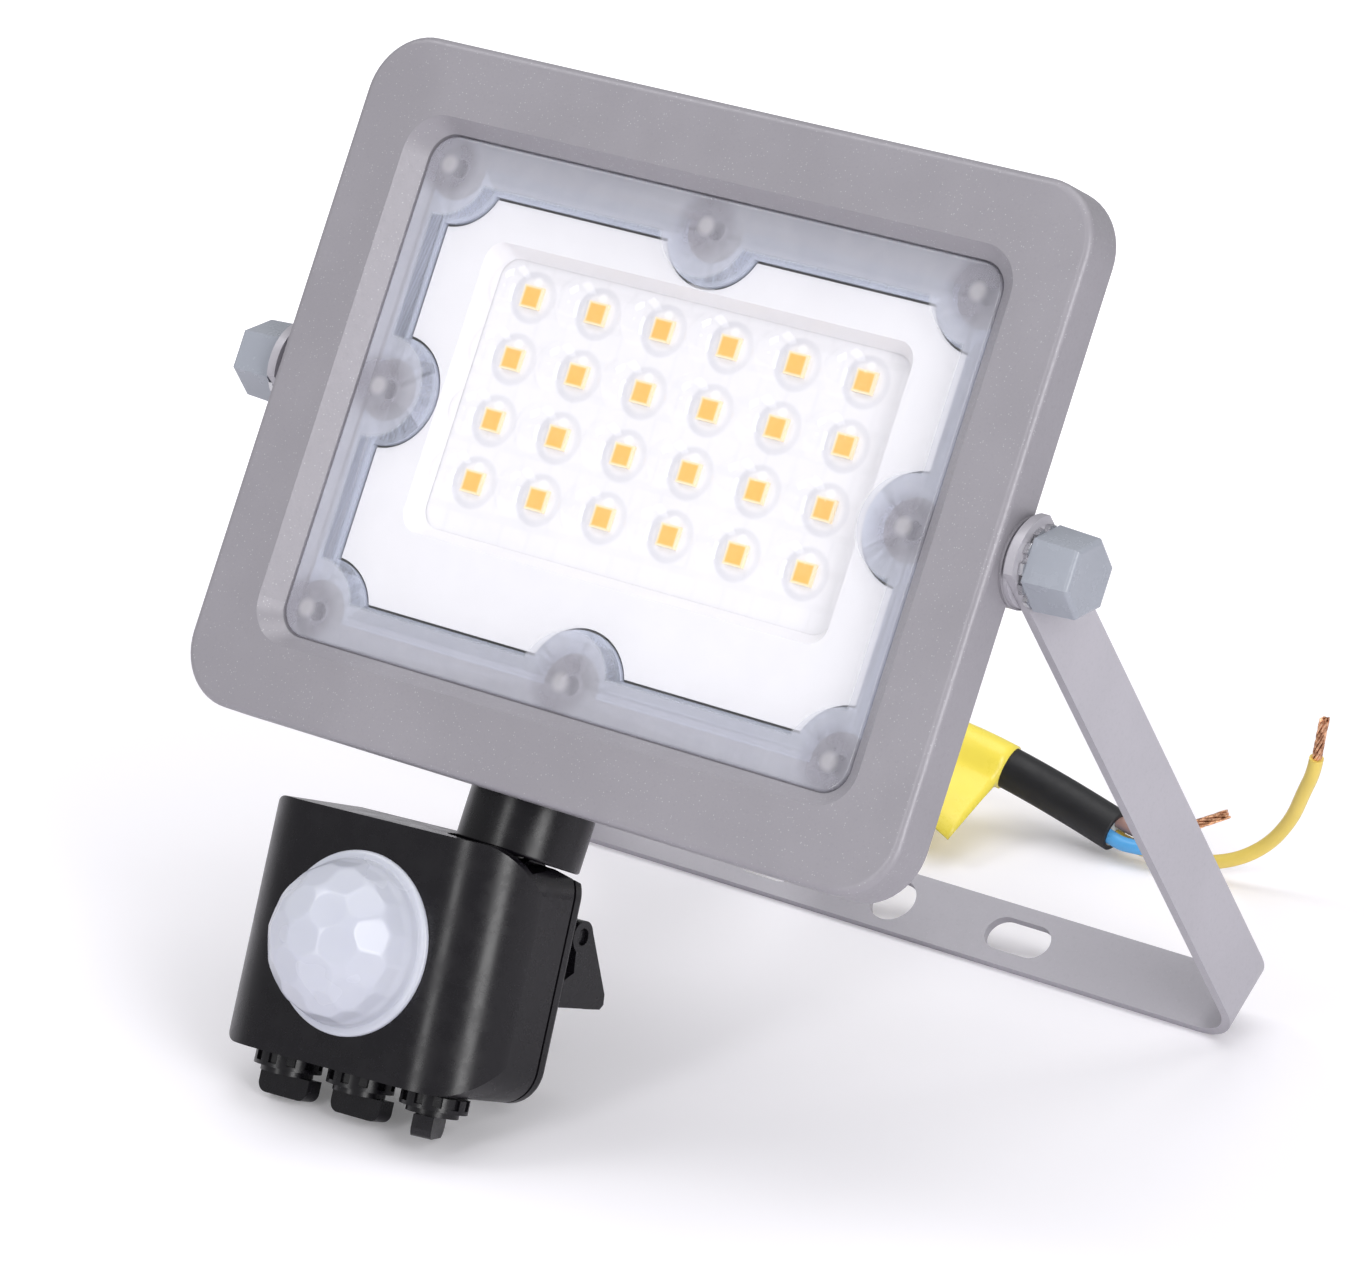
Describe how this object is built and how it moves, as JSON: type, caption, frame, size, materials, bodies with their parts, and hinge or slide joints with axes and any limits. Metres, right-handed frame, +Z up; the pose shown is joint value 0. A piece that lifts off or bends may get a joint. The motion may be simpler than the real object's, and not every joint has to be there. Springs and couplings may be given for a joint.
{
  "type": "motion sensor floodlight",
  "caption": "Flat floodlight with a framed lens window on a U-shaped tilting bracket, with a small black motion sensor box and round dome hanging below it.",
  "frame": {"origin": "centre of the footprint of the light without its cable, on the surface it stands on", "axes": "+X along the lamp's width to the viewer's right, +Y to the rear, +Z up; the lamp faces -Y"},
  "size_m": [0.1564, 0.1751, 0.1493],
  "materials": {
    "aluminium": "satin",
    "black_plastic": "satin",
    "board": "satin",
    "cable_rubber": "satin",
    "cap_plastic": "satin",
    "clear_plastic": "frosted",
    "copper": "satin",
    "dome_plastic": "translucent",
    "gloss_black": "glossy",
    "grey_paint": "satin",
    "led": "satin",
    "relay_blue": "satin",
    "rubber": "matte",
    "screw_steel": "satin",
    "white_plastic": "matte",
    "wire_blue": "satin",
    "wire_brown": "satin",
    "wire_yellow": "satin",
    "yellow_label": "satin"
  },
  "bodies": {
    "bracket_body": {"bracket": "grey_paint", "supply_cable": "cable_rubber", "cable_tag": "yellow_label", "wire_blue": "wire_blue", "wire_brown": "wire_brown", "wire_earth": "wire_yellow", "copper_strands": "copper"},
    "lamp_head": {"housing": "grey_paint", "lens_plate": "clear_plastic", "lens_gasket": "rubber", "reflector_tray": "white_plastic", "led_board": "board", "led_chips": "led", "driver_chips": "black_plastic", "board_screws": "screw_steel", "pivot_bolts": "screw_steel", "pivot_washers": "screw_steel", "tooth_washers": "screw_steel", "bolt_caps": "cap_plastic", "gland_base": "black_plastic", "gland_nut": "black_plastic", "gland_seal": "rubber"},
    "neck_body": {"sensor_neck": "gloss_black", "neck_seal": "rubber", "neck_nut": "black_plastic"},
    "sensor_head": {"sensor_shell": "gloss_black", "sensor_seal": "rubber", "sensor_back_cover": "gloss_black", "cover_screws": "screw_steel", "dome_lens": "dome_plastic", "sensor_board": "board", "pir_element": "screw_steel", "relay": "relay_blue", "capacitor": "aluminium", "potentiometers": "relay_blue", "tilt_pin": "screw_steel", "lock_pin": "screw_steel"},
    "lock_lever_body": {"lock_lever": "black_plastic"},
    "lux_knob_body": {"lux_knob": "black_plastic"},
    "time_knob_body": {"time_knob": "black_plastic"},
    "sensitivity_knob_body": {"sensitivity_knob": "black_plastic"}
  },
  "joints": [
    {"name": "lamp_tilt", "type": "hinge", "parent": "bracket_body", "child": "lamp_head", "pos_m": [0, -0.00656, 0.09828], "axis": [1, 0, 0], "range_deg": [-60, 60], "deforming": ["supply_cable"]},
    {"name": "sensor_swivel", "type": "hinge", "parent": "lamp_head", "child": "neck_body", "pos_m": [-0.0087, -0.03132, 0.03542], "axis": [0, 0.4924, 0.8704], "range_deg": [-80, 80]},
    {"name": "sensor_tilt", "type": "hinge", "parent": "neck_body", "child": "sensor_head", "pos_m": [-0.0087, -0.03132, 0.03542], "axis": [0.9987, 0.0209, 0.047], "range_deg": [-15, 8]},
    {"name": "lock_lever_turn", "type": "hinge", "parent": "sensor_head", "child": "lock_lever_body", "pos_m": [-0.00843, -0.02434, 0.02652], "axis": [0.9987, 0.0209, 0.047], "range_deg": [0, 60]},
    {"name": "lux_knob_turn", "type": "hinge", "parent": "sensor_head", "child": "lux_knob_body", "pos_m": [-0.03585, -0.05035, 0.00696], "axis": [-0.0515, 0.4062, 0.9123], "range_deg": [-135, 135]},
    {"name": "time_knob_turn", "type": "hinge", "parent": "sensor_head", "child": "time_knob_body", "pos_m": [-0.02177, -0.05005, 0.00762], "axis": [-0.0515, 0.4062, 0.9123], "range_deg": [-135, 135]},
    {"name": "sensitivity_knob_turn", "type": "hinge", "parent": "sensor_head", "child": "sensitivity_knob_body", "pos_m": [-0.00769, -0.04976, 0.00828], "axis": [-0.0515, 0.4062, 0.9123], "range_deg": [-69, 201]}
  ]
}
